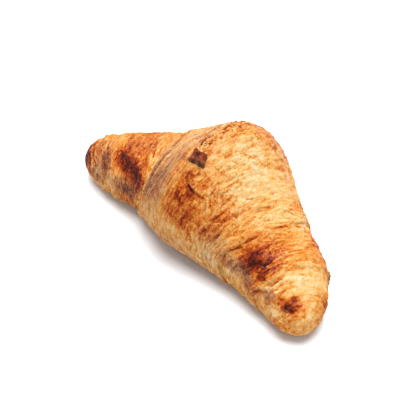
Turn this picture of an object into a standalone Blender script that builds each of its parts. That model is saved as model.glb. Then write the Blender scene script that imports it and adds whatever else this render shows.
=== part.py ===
"""A straight butter croissant: one baked solid with a flat underside.

The dough is a long triangle rolled up from its base, so the outside shows the edges of nested wraps.
Each wrap ends in a raised lip with a crease behind it. The last wrap is the tongue, whose blunt end
stands up on the front of the crown as a small thick tab.

Metres, +Z up. X runs along the croissant from its left tip to its right one, and +Y points to the
bulging back. The origin is on the flat underside, below the crown.

Places on the crust are given as (angle, x): the angle in degrees round the roll, 0 at the back,
90 on top and 180 at the front, and x in millimetres along the spine.
"""

import math

import bmesh
import bpy
import numpy as np

MM = 0.001

# The loft. Each section is x, y of the spine, width and height, in millimetres.
HALF_LENGTH = 84.0
SECTIONS = (
    (-84.0, -22.3, 31.0, 25.0),  # left tip
    (-71.0, -16.2, 36.0, 26.5),  # left knob
    (-56.0, -10.6, 42.5, 31.0),  # left arm
    (-42.0, -6.0, 50.5, 36.3),
    (-28.0, -2.7, 61.5, 44.3),  # left shoulder
    (-15.0, -1.0, 73.5, 55.0),
    (-4.0, -0.3, 78.0, 60.4),  # crown
    (7.0, -0.8, 74.6, 57.6),
    (18.0, -1.9, 66.3, 50.0),  # right shoulder
    (31.0, -3.7, 55.6, 41.8),
    (46.0, -6.7, 46.3, 35.6),  # right arm
    (65.0, -13.0, 39.0, 28.8),  # right knob
    (84.0, -25.3, 28.0, 23.0),  # right tip
)
AXIS_HEIGHT = 0.45  # height of the roll's axis, as a share of the section's height
LOWER_DEPTH = 0.53  # reach of the section below its axis, cut off flat by the baking tray
SECTION_FULLNESS = 0.94  # under 1 makes a section squarer than an ellipse
TIP_BLUNTNESS = 9.0  # the higher, the blunter the two tips

# Edges of the wraps. Each runs round the roll through a few places (angle, x).
LEFT_KNOB_EDGE = ((-60, -77), (60, -76.5), (120, -73), (175, -67.5), (240, -70), (300, -77))
LEFT_ARM_EDGE = ((-60, -67), (60, -68), (95, -66.5), (132, -62.5), (180, -58.5), (240, -61), (300, -67))
LEFT_WRAP_EDGE = ((-60, -32), (40, -34), (90, -32), (140, -28.5), (172, -31.5), (200, -36.5), (300, -32))
RIGHT_WRAP_EDGE = ((-60, 36), (40, 42), (72, 44.5), (105, 43.5), (130, 43), (165, 37.5), (200, 39.5), (300, 36))
RIGHT_ARM_EDGE = ((-60, 62), (50, 64), (110, 65.8), (150, 65.7), (172, 63.5), (200, 65), (300, 62))
TONGUE_EDGE = (
    (-70, -24), (0, -15), (45, -10.5), (72, -8.5), (92, -6.5), (108, -4), (119, -1), (126, 3),
    (131.5, 8), (131, 14), (126, 18), (114, 20), (100, 22), (80, 25.5), (50, 29), (20, 34), (-70, 40),
)

# For each edge: how proud its lip stands, how deep the crease behind it is, and how far each fades, in mm.
LEFT_KNOB_STEP = (0.8, 0.7, 5.0, 3.5)
LEFT_ARM_STEP = (0.6, 0.8, 6.0, 4.0)
LEFT_WRAP_STEP = (1.6, 1.5, 9.0, 6.0)
RIGHT_WRAP_STEP = (0.75, 0.85, 8.0, 6.0)
RIGHT_ARM_STEP = (0.7, 0.9, 7.0, 5.0)
TONGUE_STEP = (0.65, 0.55, 5.0, 4.0)
TONGUE_BACK = 0.8  # share of the tongue's step that is left on the back
TONGUE_RIGHT = 0.35  # share of it that is left on the tongue's right side
TONGUE_RIGHT_X = 15.0
LIP_WALL = 0.9  # half the width of the wall between a lip and its crease, in mm

# How much of its step each wrap shows round the roll: places (angle, share)
EVEN_SHARE = ((-60, 1.0), (100, 1.0), (300, 1.0))
LEFT_WRAP_SHARE = ((-60, 1.1), (20, 1.0), (60, 0.65), (95, 0.6), (150, 0.9), (200, 1.0), (300, 1.1))
RIGHT_WRAP_SHARE = ((-60, 1.7), (5, 1.6), (32, 0.7), (60, 0.35), (105, 0.4), (130, 0.8), (190, 0.9), (300, 1.7))
RIGHT_ARM_SHARE = ((-60, 1.7), (5, 1.5), (32, 0.6), (60, 0.3), (105, 0.35), (135, 0.75), (190, 0.9), (300, 1.7))

# Torn flakes and crags: the place (angle, x) of each, its height and its reach, in mm
FLAKES = (
    (100, -5.0, 1.4, 2.6),  # the ragged left side of the tongue, above the tab
    (88, -8.0, 0.4, 2.4),
    (76, -8.5, 0.5, 2.8),
    (92, -2.5, -0.6, 2.6),
    (128, 11.0, 0.9, 3.0),  # the tongue's lower lobe
    (139, 44.0, -0.7, 3.2),  # gap beside the right wrap's edge
    (168, 35.0, 0.8, 2.6),
    (150, 79.0, -0.9, 3.0),  # the crumbled right tip
    (172, 77.5, 0.8, 2.8),
    (120, 82.0, 0.7, 3.0),
    (177, 81.5, 1.3, 2.2),
    (160, 82.6, -1.1, 2.0),
    (197, 80.5, 1.0, 2.4),
    (140, 82.8, 0.9, 2.0),
    (128, -79.0, 0.6, 3.4),  # the left tip
)

# Unevenness of the crust, in mm
SWELL = 0.6  # slow swells from uneven proving
PLEAT = 0.42  # pulled layers, each overlapping the next towards the nearer tip
PLEAT_LENGTH = 7.0
PLEAT_RISE = 0.68  # share of a layer's length over which it rises to its edge
CROWN_X = -4.0
SMOOTH_CROWN = 12.0  # the layers fade out over this length before the crown

# The tab: the tongue's blunt end. Each corner is (angle, x, height over the crust in mm).
TAB_FOOT = ((121.8, -5.4, -3.0), (109, -4.2, -3.0), (105.8, 3.8, -3.0), (118.6, 9.4, -3.0))
TAB_TOP = ((117.8, -0.4, 3.6), (109, -2.5, 2.5), (106.5, 3.5, 2.1), (113, 6.4, 3.3))
TAB_ROUNDING = 0.6 * MM

# The mesh: rings between one wrap's edge and the next, and points round each ring
RINGS_PER_BAND = (9, 6, 13, 33, 12, 10)
RING_POINTS = 74
TOP_CROWDING = 0.3  # how much closer the points lie on top than underneath

CRUST_COLOUR = (0.62, 0.30, 0.09, 1.0)
CRUST_ROUGHNESS = 0.42


def smooth_curve(stations, values, at):
    """Values between the stations, on the natural cubic spline through all of them."""
    stations = np.asarray(stations, float)
    values = np.asarray(values, float)
    gap = np.diff(stations)
    rise = np.diff(values) / gap
    system = np.eye(len(stations))
    wanted = np.zeros(len(stations))
    for i in range(1, len(stations) - 1):
        system[i, i - 1 : i + 2] = gap[i - 1], 2 * (gap[i - 1] + gap[i]), gap[i]
        wanted[i] = 6 * (rise[i] - rise[i - 1])
    bend = np.linalg.solve(system, wanted)
    i = np.clip(np.searchsorted(stations, at, side="right") - 1, 0, len(gap) - 1)
    after = (at - stations[i]) / gap[i]
    before = 1 - after
    sag = (before**3 - before) * bend[i] + (after**3 - after) * bend[i + 1]
    return before * values[i] + after * values[i + 1] + gap[i] ** 2 / 6 * sag


def section_at(x):
    """Spine y, width, height and tip closing of the loft at x, in millimetres."""
    table = np.array(SECTIONS)
    y, width, height = (smooth_curve(table[:, 0], table[:, k], x) for k in (1, 2, 3))
    closing = np.sqrt(np.clip(1 - np.abs(x / HALF_LENGTH) ** TIP_BLUNTNESS, 0, 1))
    return y, width, height, closing


def edge_at(edge, angle):
    """The x of an edge that runs once round the roll."""
    degrees = (np.degrees(angle) + 60) % 360 - 60
    return smooth_curve([p[0] for p in edge], [p[1] for p in edge], degrees)


def stepped(distance, step):
    """Height of a wrap's edge at a distance across it, in mm: negative on the lip, positive in the crease."""
    lip, crease, lip_reach, crease_reach = step
    raised = lip * np.exp(np.minimum(distance, 0) / lip_reach)
    sunken = -crease * np.exp(-np.maximum(distance, 0) / crease_reach)
    s = np.clip((distance + LIP_WALL) / (2 * LIP_WALL), 0, 1)
    over = s * s * (3 - 2 * s)
    return raised * (1 - over) + sunken * over


def roll_radius(x):
    """Mean radius of the roll at x, which turns an angle into a length round it."""
    _, width, height, closing = section_at(x)
    return 0.25 * (width + height) * closing


def tongue_distance(x, angle):
    """Distance from the tongue's outline over the crust: negative on the tongue."""
    degrees = (np.degrees(angle) + 70) % 360 - 70
    outline = np.array(TONGUE_EDGE, float)
    order = np.arange(len(outline), dtype=float)
    fine = np.linspace(0, order[-1], 6 * len(outline))
    edge_t = np.radians(smooth_curve(order, outline[:, 0], fine))
    edge_x = smooth_curve(order, outline[:, 1], fine)
    radius = roll_radius(x)
    px, ps = x[..., None], (np.radians(degrees) * radius)[..., None]
    ax, bx = edge_x[:-1], edge_x[1:]
    at = edge_t[:-1] * radius[..., None]
    bt = edge_t[1:] * radius[..., None]
    along = ((px - ax) * (bx - ax) + (ps - at) * (bt - at)) / ((bx - ax) ** 2 + (bt - at) ** 2)
    along = np.clip(along, 0, 1)
    gap = np.hypot(px - ax - along * (bx - ax), ps - at - along * (bt - at)).min(axis=-1)
    left = np.interp(degrees, *rising_side(edge_t, edge_x, first=True))
    right = np.interp(degrees, *rising_side(edge_t, edge_x, first=False))
    front = np.degrees(edge_t.max())
    inside = (x > left) & (x < right) & (degrees < front)
    return np.where(inside, -gap, gap)


def rising_side(edge_t, edge_x, first):
    """One side of the tongue as rising angles and their x: the left side first, or the right one."""
    top = int(np.argmax(edge_t))
    angles = edge_t[: top + 1] if first else edge_t[top:][::-1]
    places = edge_x[: top + 1] if first else edge_x[top:][::-1]
    angles = np.maximum.accumulate(angles)
    return np.degrees(angles) + np.arange(len(angles)) * 1e-6, places


def swells(x, angle):
    """Slow unevenness and pulled layers, in mm, the same each run."""
    slow = (
        np.sin(x / 13.0 + 2.1 * np.cos(angle) + 0.6)
        + 0.8 * np.sin(x / 8.1 - 1.7 * np.sin(angle + 0.4) + 2.0)
        + 0.6 * np.cos(3 * angle + x / 21.0)
    )
    wander = 0.35 * np.sin(2 * angle + x / 17.0) + 0.2 * np.sin(5 * angle - x / 11.0)
    layer = (np.abs(x - CROWN_X) / PLEAT_LENGTH + wander) % 1.0
    overlap = np.where(layer < PLEAT_RISE, layer / PLEAT_RISE, (1 - layer) / (1 - PLEAT_RISE)) - 0.5
    strength = np.clip((np.abs(x - CROWN_X) - SMOOTH_CROWN) / SMOOTH_CROWN, 0, 1)
    return SWELL * slow / 2.4 + PLEAT * overlap * strength


def flakes(x, angle):
    """Torn flakes and crags, in mm."""
    height = np.zeros_like(x)
    radius = roll_radius(x)
    for flake_angle, flake_x, rise, reach in FLAKES:
        turn = (angle - math.radians(flake_angle) + math.pi) % (2 * math.pi) - math.pi
        away = ((x - flake_x) ** 2 + (turn * radius) ** 2) / reach**2
        height = height + rise * np.exp(-away)
    return height


def relief(x, angle):
    """How far the crust stands off the plain loft, in mm."""
    height = swells(x, angle) + flakes(x, angle)
    for edge, step, share, outward in (
        (LEFT_KNOB_EDGE, LEFT_KNOB_STEP, EVEN_SHARE, -1),
        (LEFT_ARM_EDGE, LEFT_ARM_STEP, EVEN_SHARE, -1),
        (LEFT_WRAP_EDGE, LEFT_WRAP_STEP, LEFT_WRAP_SHARE, -1),
        (RIGHT_WRAP_EDGE, RIGHT_WRAP_STEP, RIGHT_WRAP_SHARE, 1),
        (RIGHT_ARM_EDGE, RIGHT_ARM_STEP, RIGHT_ARM_SHARE, 1),
    ):
        height = height + edge_at(share, angle) * stepped(outward * (x - edge_at(edge, angle)), step)
    front = np.clip((1.2 - np.cos(angle)) / 1.4, TONGUE_BACK, 1)
    left = TONGUE_RIGHT + (1 - TONGUE_RIGHT) / (1 + np.exp((x - TONGUE_RIGHT_X) / 2.0))
    return height + front * left * stepped(tongue_distance(x, angle), TONGUE_STEP)


def crust_points(x, angle):
    """Points of the crust at x along the spine and the angle round it, in metres."""
    y, width, height, closing = section_at(x)
    slope = (section_at(x + 0.5)[0] - section_at(x - 0.5)[0]) / 1.0
    length = np.hypot(slope, 1)
    across = np.sign(np.cos(angle)) * np.abs(np.cos(angle)) ** SECTION_FULLNESS
    rise = np.sign(np.sin(angle)) * np.abs(np.sin(angle)) ** SECTION_FULLNESS
    reach = np.where(rise > 0, 1 - AXIS_HEIGHT, LOWER_DEPTH) * height
    out_y, out_z = np.cos(angle) / width, np.sin(angle) / (2 * reach)
    norm = np.hypot(out_y, out_z)
    fade = np.clip((np.sin(angle) + 0.85) / 0.35, 0, 1) * np.clip(closing * 2.2 - 0.2, 0, 1)
    lift = relief(x, angle) * fade
    side = 0.5 * width * closing * across + lift * out_y / norm
    z = AXIS_HEIGHT * height + reach * closing * rise + lift * out_z / norm
    return np.stack([x - side * slope / length, y + side / length, np.maximum(z, 0)], axis=-1) * MM


def ring_x(ring, angle):
    """The x of a ring at each angle. Rings lie along the wraps' edges and crowd next to them."""
    starts = np.cumsum((0,) + RINGS_PER_BAND)
    band = int(np.clip(np.searchsorted(starts, ring, side="right") - 1, 0, len(RINGS_PER_BAND) - 1))
    tip = np.full_like(angle, HALF_LENGTH)
    edges = (
        -tip,
        edge_at(LEFT_KNOB_EDGE, angle),
        edge_at(LEFT_ARM_EDGE, angle),
        edge_at(LEFT_WRAP_EDGE, angle),
        edge_at(RIGHT_WRAP_EDGE, angle),
        edge_at(RIGHT_ARM_EDGE, angle),
        tip,
    )
    share = (ring - starts[band]) / RINGS_PER_BAND[band]
    crowded = 0.55 * (0.5 - 0.5 * math.cos(math.pi * share)) + 0.45 * share
    if band in (0, len(RINGS_PER_BAND) - 1):
        crowded = math.sin(share * math.pi / 2) ** 0.9 if band else 1 - math.cos(share * math.pi / 2) ** 0.9
    return edges[band] + (edges[band + 1] - edges[band]) * crowded


def clear_scene():
    for old in list(bpy.data.objects):
        bpy.data.objects.remove(old)


def crust_material():
    material = bpy.data.materials.new("baked_crust")
    material.use_nodes = True
    shader = material.node_tree.nodes["Principled BSDF"]
    shader.inputs["Base Color"].default_value = CRUST_COLOUR
    shader.inputs["Roughness"].default_value = CRUST_ROUGHNESS
    shader.inputs["Metallic"].default_value = 0.0
    return material


def make_crust(collection, material):
    """A UV sphere whose rings are spread along the loft."""
    rings = sum(RINGS_PER_BAND)
    bm = bmesh.new()
    bmesh.ops.create_uvsphere(bm, u_segments=RING_POINTS, v_segments=rings, radius=1.0)
    places = np.array([v.co for v in bm.verts])
    ring_of = np.rint(np.arccos(np.clip(-places[:, 2], -1, 1)) / math.pi * rings).astype(int)
    angle = np.arctan2(places[:, 0], -places[:, 1]) - math.pi / 2
    angle = angle + TOP_CROWDING * np.cos(angle)
    x = np.empty(len(places))
    for ring in range(rings + 1):
        here = ring_of == ring
        x[here] = ring_x(ring, angle[here])
    for vert, point in zip(bm.verts, crust_points(x, angle)):
        vert.co = point
    bmesh.ops.recalc_face_normals(bm, faces=bm.faces)
    mesh = bpy.data.meshes.new("croissant")
    bm.to_mesh(mesh)
    bm.free()
    mesh.materials.append(material)
    mesh.shade_smooth()
    crust = bpy.data.objects.new("croissant", mesh)
    collection.objects.link(crust)
    return crust


def over_crust(angle, x, height):
    """A point at a height over the crust, in metres. Height is in mm."""
    x, angle = np.array([x]), np.array([math.radians(angle)])
    here = crust_points(x, angle)[0]
    along = crust_points(x + 1.0, angle)[0] - here
    backward = crust_points(x, angle - 0.03)[0] - here
    out = np.cross(along, backward)
    return here + height * MM * out / np.linalg.norm(out)


def make_tab(collection, material):
    """A wedge-shaped block sunk in the crust, its cut end sloping and its rim rounded."""
    bpy.ops.mesh.primitive_cube_add(size=2.0)
    tab = bpy.context.object
    tab.name = tab.data.name = "tab"
    order = {(-1, -1): 0, (-1, 1): 1, (1, 1): 2, (1, -1): 3}
    for vert in tab.data.vertices:
        corners = TAB_TOP if vert.co.z > 0 else TAB_FOOT
        vert.co = over_crust(*corners[order[round(vert.co.x), round(vert.co.y)]])
    bevel = tab.modifiers.new("rounding", "BEVEL")
    bevel.width = TAB_ROUNDING
    bevel.segments = 2
    for old in list(tab.users_collection):
        old.objects.unlink(tab)
    collection.objects.link(tab)
    tab.data.materials.append(material)
    return tab


def fuse(crust, tab):
    """Joins the tab to the crust and removes the loose tab."""
    join = crust.modifiers.new("tab", "BOOLEAN")
    join.operation = "UNION"
    join.object = tab
    join.solver = "EXACT"
    bpy.context.view_layer.objects.active = crust
    bpy.ops.object.modifier_apply(modifier=join.name)
    bpy.data.objects.remove(tab)


def main():
    clear_scene()
    part = bpy.data.collections.new("croissant")
    bpy.context.scene.collection.children.link(part)
    material = crust_material()
    crust = make_crust(part, material)
    tab = make_tab(part, material)
    fuse(crust, tab)


main()
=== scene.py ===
"""The looks of a straight butter croissant: flaky crust, the dark tab on its crown, and small torn flakes.

Places on the crust are (angle, x): degrees round the roll, 0 at the back, 90 on top and 180 at the front,
and millimetres along the spine. Heights and reaches are in millimetres, and the meshes are in metres.
"""

import math
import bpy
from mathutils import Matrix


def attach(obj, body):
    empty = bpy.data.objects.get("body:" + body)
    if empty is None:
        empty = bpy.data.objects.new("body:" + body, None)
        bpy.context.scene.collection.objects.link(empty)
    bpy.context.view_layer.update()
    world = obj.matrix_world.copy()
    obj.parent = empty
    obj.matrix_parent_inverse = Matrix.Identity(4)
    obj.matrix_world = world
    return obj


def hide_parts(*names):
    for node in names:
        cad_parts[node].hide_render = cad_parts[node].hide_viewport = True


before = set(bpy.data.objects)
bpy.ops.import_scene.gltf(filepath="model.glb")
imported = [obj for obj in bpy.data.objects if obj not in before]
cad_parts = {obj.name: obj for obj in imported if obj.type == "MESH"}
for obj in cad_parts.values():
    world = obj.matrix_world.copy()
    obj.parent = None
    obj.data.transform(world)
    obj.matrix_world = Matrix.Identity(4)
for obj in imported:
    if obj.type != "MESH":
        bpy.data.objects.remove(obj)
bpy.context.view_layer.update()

from types import SimpleNamespace

import bpy
import numpy as np
from mathutils import Vector, noise

MM = 0.001

# The loft, as in the solid: x, y of the spine, width and height
HALF_LENGTH = 84.0
SECTIONS = (
    (-84.0, -22.3, 31.0, 25.0),
    (-71.0, -16.2, 36.0, 26.5),
    (-56.0, -10.6, 42.5, 31.0),
    (-42.0, -6.0, 50.5, 36.3),
    (-28.0, -2.7, 61.5, 44.3),
    (-15.0, -1.0, 73.5, 55.0),
    (-4.0, -0.3, 78.0, 60.4),
    (7.0, -0.8, 74.6, 57.6),
    (18.0, -1.9, 66.3, 50.0),
    (31.0, -3.7, 55.6, 41.8),
    (46.0, -6.7, 46.3, 35.6),
    (65.0, -13.0, 39.0, 28.8),
    (84.0, -25.3, 28.0, 23.0),
)
AXIS_HEIGHT = 0.45
LOWER_DEPTH = 0.53
SECTION_FULLNESS = 0.94
TIP_BLUNTNESS = 9.0
CROWN_X = -4.0

# Edges of the wraps: each runs round the roll through a few places
LEFT_KNOB_EDGE = ((-60, -77), (60, -76.5), (120, -73), (175, -67.5), (240, -70), (300, -77))
LEFT_ARM_EDGE = ((-60, -67), (60, -68), (95, -66.5), (132, -62.5), (180, -58.5), (240, -61), (300, -67))
LEFT_WRAP_EDGE = ((-60, -32), (40, -34), (90, -32), (140, -28.5), (172, -31.5), (200, -36.5), (300, -32))
RIGHT_WRAP_EDGE = (
    (-60, 36), (40, 42), (72, 44.5), (105, 43.5), (130, 43), (165, 37.5), (200, 39.5), (300, 36),
)
RIGHT_ARM_EDGE = ((-60, 62), (50, 64), (110, 65.8), (150, 65.7), (172, 63.5), (200, 65), (300, 62))
TONGUE_EDGE = (
    (-70, -24), (0, -15), (45, -10.5), (72, -8.5), (92, -6.5), (108, -4), (119, -1), (126, 3),
    (131.5, 8), (131, 14), (126, 18), (114, 20), (100, 22), (80, 25.5), (50, 29), (20, 34), (-70, 40),
)

# For each edge: how proud its lip stands, how deep its crease is, and how far each fades
LEFT_KNOB_STEP = (0.8, 0.7, 5.0, 3.5)
LEFT_ARM_STEP = (0.6, 0.8, 6.0, 4.0)
LEFT_WRAP_STEP = (1.6, 1.5, 9.0, 6.0)
RIGHT_WRAP_STEP = (0.75, 0.85, 8.0, 6.0)
RIGHT_ARM_STEP = (0.7, 0.9, 7.0, 5.0)
TONGUE_STEP = (0.65, 0.55, 5.0, 4.0)
TONGUE_BACK = 0.8  # share of its step that the tongue keeps at the back
TONGUE_FRONT_START = 1.2
TONGUE_FRONT_SPAN = 1.4
TONGUE_RIGHT = 0.35  # share of its step that the tongue keeps to the right of an x
TONGUE_RIGHT_X = 15.0
TONGUE_RIGHT_FADE = 2.0
LIP_WALL = 0.45  # half the width of the wall between a lip and its crease
TORN_LIP = 0.9  # how far a torn lip wanders from its line

# Painted shade in the creases and pale lips along an edge: where across it, and how wide
CREASE_SHADE = (0.12, 0.62)
LIP = (-1.2, 0.5)
TONGUE_CREASE_SHADE = (0.40, 0.45)
TONGUE_LIP = (-0.8, 0.6)
TONGUE_CREASE_SHADE_STRENGTH = 0.4

# Torn flakes and crags: angle, x, height and reach
FLAKES = (
    (100, -5.0, 1.4, 2.6),
    (88, -8.0, 0.4, 2.4),
    (76, -8.5, 0.5, 2.8),
    (92, -2.5, -0.6, 2.6),
    (128, 11.0, 0.9, 3.0),
    (139, 44.0, -0.7, 3.2),
    (168, 35.0, 0.8, 2.6),
    (150, 79.0, -0.9, 3.0),
    (172, 77.5, 0.8, 2.8),
    (120, 82.0, 0.7, 3.0),
    (177, 81.5, 1.3, 2.2),
    (160, 82.6, -1.1, 2.0),
    (197, 80.5, 1.0, 2.4),
    (140, 82.8, 0.9, 2.0),
    (128, -79.0, 0.6, 3.4),
)

# Unevenness of the crust
SWELL = 0.6
PLEAT = 0.42
PLEAT_LENGTH = 7.0
PLEAT_RISE = 0.68
SMOOTH_CROWN = 12.0

# How the relief fades into the flat underside and at the tips
SOLE_START = 0.85
SOLE_FADE = 0.35
TIP_FADE = 2.2
TIP_FADE_START = 0.2

# Fine relief: thin layers, wrinkles of the glazed skin, fibres, blisters, shreds and tilted plates
LAYER_HEIGHT = 0.40
LAYER_LENGTH = 1.8
LAYER_RISE = 0.78  # share of a layer over which it rises
LAYER_BEND = 2.2
WRINKLE_HEIGHT = 0.50
FIBRE_HEIGHT = 0.34
BLISTER_HEIGHT = 0.26
SHRED_HEIGHT = 0.6
SKIN_TILT = 0.38
LEAF_TILT = 0.22
SKIN_REACH = 2.6
LEAF_REACH = 2.0
PLATE_RIM = 0.16

# Sizes of the noises, alike all ways or along the roll and twice across it
FRAY_SIZE = 8.0
TEAR_SIZE = 3.4
BREAK_SIZE = 5.0
MOTTLE_SIZE = 3.0
SPECK_SIZE = 1.05
BLISTER_SIZE = 1.7
SHRED_SIZE = 2.0
BEND_SIZE = (9.0, 14.0, 14.0)
WRINKLE_SIZE = (2.1, 7.0, 7.0)
SKIN_SIZE = (1.9, 4.6, 4.6)
LEAF_SIZE = (1.5, 4.6, 4.6)
FIBRE_SIZE = (1.2, 4.6, 4.6)
FRAY = 2.2  # how far the patches' outlines wander
BEND = 0.6
OCTAVE_STEP = 2.1
CLOUD_FADE = 0.9
RIDGE_FADE = 1.0
RIDGE_OFFSET = 1.0
RIDGE_GAIN = 2.0

# How much the relief browns the crust, or pales it where the value is negative
# Fibres and blisters pale the crust where they stand higher: partly their own tone, partly painted highlight
# on raised grain.
FIBRE_BAKE_AND_HIGHLIGHT = -0.14
BLISTER_BAKE_AND_HIGHLIGHT = -0.04
SPECK_BAKE = 0.08
MOTTLE_BAKE = 0.04
SKIN_BAKE = 0.14
SKIN_RIM_BAKE = 0.11
WRINKLE_BAKE = -0.18
GLAZE_BAKE = -0.03
LEAF_BAKE = 0.10
LEAF_RIM_BAKE = 0.07
# Thin layers: painted shade in the gap at each one's foot, painted highlight on its raised edge
LAYER_GAP_SHADE = 1.1
LAYER_EDGE_HIGHLIGHT = -0.6
SHRED_BAKE = -0.32
MOTTLED_PATCH = 0.28
SPECKLED_PATCH = 0.24
MOTTLED_ASH = 0.5
PATCH_FALLOFF = 1.3
PATCH_SIDE_FRAY = 0.8
LEAST_PATCH_RADIUS = 8.0

# Patches of the crust: angle, x, reach in degrees, reach in mm, slant in mm per mm, amount
BAKE_LEVEL = 0.335
BROWNED = (
    (118, -81.5, 62, 5.5, 0.0, 0.34),  # left tip
    (165, -80, 30, 6, 0.0, 0.20),
    # darker low on the left tip: painted shade
    (178, -72, 15, 5, 0.0, 0.22),
    (124, -74, 36, 4.0, 0.25, 0.20),
    (138, -65.5, 32, 2.8, 0.30, 0.34),  # narrow dark band beside the left arm's edge
    (106, -55, 15, 8, 0.25, 0.13),  # left arm: orange, then dark red-brown
    (122, -54, 13, 7.5, 0.40, 0.30),
    (133, -49, 17, 11, 0.80, 0.37),
    (150, -39, 15, 8, 0.80, 0.37),
    (168, -46, 14, 10, 0.4, 0.32),
    (80, -50, 30, 14, 0.0, 0.14),
    (86, -18, 26, 10, 0.0, 0.06),
    (196, -46, 14, 9, 0.2, 0.22),
    (112, -41, 20, 3.0, 0.45, 0.14),
    (128, -27, 40, 3.0, 0.20, 0.16),  # stripe inside the left wrap's lip
    (148, -17, 24, 8, 0.10, 0.17),
    (126, -8, 18, 6, 0.0, 0.10),
    (150, 8, 26, 9, 0.0, 0.20),  # patches below the tongue
    (134, 10, 4, 6, 0.0, 0.20),
    (143, 8, 5, 3, 0.0, 0.12),
    (165, 13, 6, 4, 0.0, 0.12),
    (172, 18, 5, 5, 0.0, 0.12),
    (124.5, 5.6, 2.6, 1.7, 0.0, 0.34),
    (122, 14, 11, 9, 0.0, 0.05),
    (146, 18, 12, 6, 0.0, 0.08),
    (138, 27, 14, 4.5, 0.0, 0.18),  # dark spot between the tongue and the right wrap
    (122, 27, 16, 9, 0.0, 0.03),
    (154, 25, 10, 5, 0.0, 0.18),
    (118, 42, 14, 4, 0.0, 0.10),
    (104, 53, 16, 9, 0.0, 0.12),  # right arm's dark patch
    (122, 55, 14, 8, 0.0, 0.20),
    (136, 52, 16, 8, -0.10, 0.42),
    (152, 50, 10, 5, -0.2, 0.16),
    (134, 61.5, 20, 2.0, 0.0, 0.26),
    (104, 77.5, 25, 4.6, -0.40, 0.38),  # right knob's dark spot
    (120, 76.5, 18, 4.4, -0.40, 0.15),
    (145, 70, 12, 3, 0.0, 0.11),
    (167, 60, 12, 7, 0.0, 0.18),
    (166, 43, 9, 4.5, 0.0, 0.18),
    (190, 80, 24, 6, 0.0, 0.10),
    (150, 83, 60, 4, 0.0, 0.10),
    (186, 78, 16, 6, 0.0, 0.14),
    (30, -26, 34, 5, -0.1, 0.18),  # the unseen back
    (34, -2, 24, 12, 0.0, 0.16),
    (8, 6, 20, 9, 0.2, 0.14),
    (30, 33, 30, 5, 0.1, 0.16),
    (36, -50, 26, 9, -0.3, 0.22),
    (14, -46, 18, 6, -0.3, 0.18),
    (30, 53, 26, 7, 0.2, 0.26),
    (8, 58, 18, 5, 0.2, 0.14),
    (14, 76, 24, 4.5, 0.0, 0.24),
    (28, -73, 34, 4, 0.0, 0.22),
    (270, 0, 42, 95, 0.0, 0.22),  # the underside
)
PALE = (
    (100, -77, 30, 2.2, 0.25, 0.10),  # beside the left knob
    (160, -73, 24, 2.6, 0.30, 0.12),
    (170, -62, 16, 5.0, 0.30, 0.10),
    (70, -52, 24, 14, 0.0, 0.02),
    (112, -36, 44, 2.4, 0.35, 0.10),  # golden band beside the left wrap's edge
    (88, -20, 24, 12, 0.0, 0.10),  # left shoulder
    (174, -15, 10, 16, 0.0, 0.12),
    (178, 12, 10, 14, 0.0, 0.10),
    (80, 16, 32, 13, 0.0, 0.20),
    (62, 30, 30, 9, 0.0, 0.12),  # the tongue's golden skin
    (96, 22, 12, 7, 0.0, 0.08),
    (176, 30, 14, 9, 0.0, 0.12),
    (74, 40, 36, 5, 0.0, 0.10),
    (45, 50, 26, 18, 0.0, 0.10),
    (176, 48, 11, 9, 0.0, 0.08),
    (80, 70, 40, 6, 0.0, 0.18),
    (62, 79, 22, 4, 0.0, 0.14),
    (165, 76, 16, 6, 0.0, 0.16),
    (100, 82.5, 70, 3, 0.0, 0.12),
    (0, 20, 22, 9, 0.0, 0.12),
    (15, -24, 22, 5, 0.0, 0.14),
)
# Grey patches: mostly the crust's own grey-brown, but low on the left tip and along the lower front they are
# painted shade
ASHEN_AND_SHADE = (
    # painted shade on the left tip's lower side
    (140, -83, 44, 7, 0.0, 0.75),
    # painted shade low on the left tip
    (178, -72, 16, 6, 0.0, 0.50),
    (166, 43, 10, 5, 0.0, 0.70),
    (155, -70, 28, 7, 0.25, 0.55),
    (110, -74, 30, 5, 0.25, 0.35),
    (167, -48, 14, 15, 0.50, 0.95),
    (132, -66, 34, 3.2, 0.30, 0.70),
    (150, -40, 14, 7, 0.8, 0.25),
    (130, -27, 44, 3.4, 0.20, 0.65),
    (95, -16, 34, 13, 0.0, 0.50),
    (80, -50, 30, 14, 0.0, 0.20),
    (165, 76, 20, 6, 0.0, 0.30),
    (145, -14, 26, 12, 0.0, 0.80),
    (155, 51, 10, 8, 0.0, 0.85),
    (160, 30, 20, 9, 0.0, 0.40),
    (160, 8, 20, 9, 0.0, 0.10),
    (145, 70, 14, 4, 0.0, 0.70),
    (168, 59, 12, 8, 0.0, 0.55),
    # painted shade along the lower front
    (200, 0, 20, 80, 0.0, 0.35),
    (270, 0, 50, 95, 0.0, 0.60),
)
GLAZED = (
    (78, 12, 40, 17, 0.0, 1.0),
    (116, 24, 18, 12, 0.0, 0.6),
    (112, -50, 24, 14, 0.3, 0.55),
    (112, 54, 22, 10, 0.0, 0.5),
    (106, 78, 28, 5, 0.0, 0.4),
    (80, 36, 30, 8, 0.0, 0.4),
    (30, 4, 30, 20, 0.0, 0.6),
    (15, -48, 30, 14, 0.0, 0.5),
    (20, 52, 30, 14, 0.0, 0.5),
)
LAYERED = (
    (176, 28, 22, 11, 0.0, 1.0),
    (120, 62, 26, 6, 0.0, 0.7),
    (85, 38, 36, 8, 0.0, 0.9),
    (90, 56, 40, 14, 0.0, 0.6),
    (140, -72, 50, 9, 0.3, 0.9),
    (120, -36, 60, 6, 0.35, 1.0),
    (130, -24, 60, 6, 0.2, 0.7),
    (170, -55, 30, 20, 0.3, 0.6),
    (10, 40, 40, 10, 0.0, 0.8),
    (10, -36, 40, 8, 0.0, 0.8),
    (0, 66, 50, 10, 0.0, 0.6),
    (15, -10, 40, 22, 0.0, 0.6),
    (15, -60, 40, 16, 0.0, 0.7),
)
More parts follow.
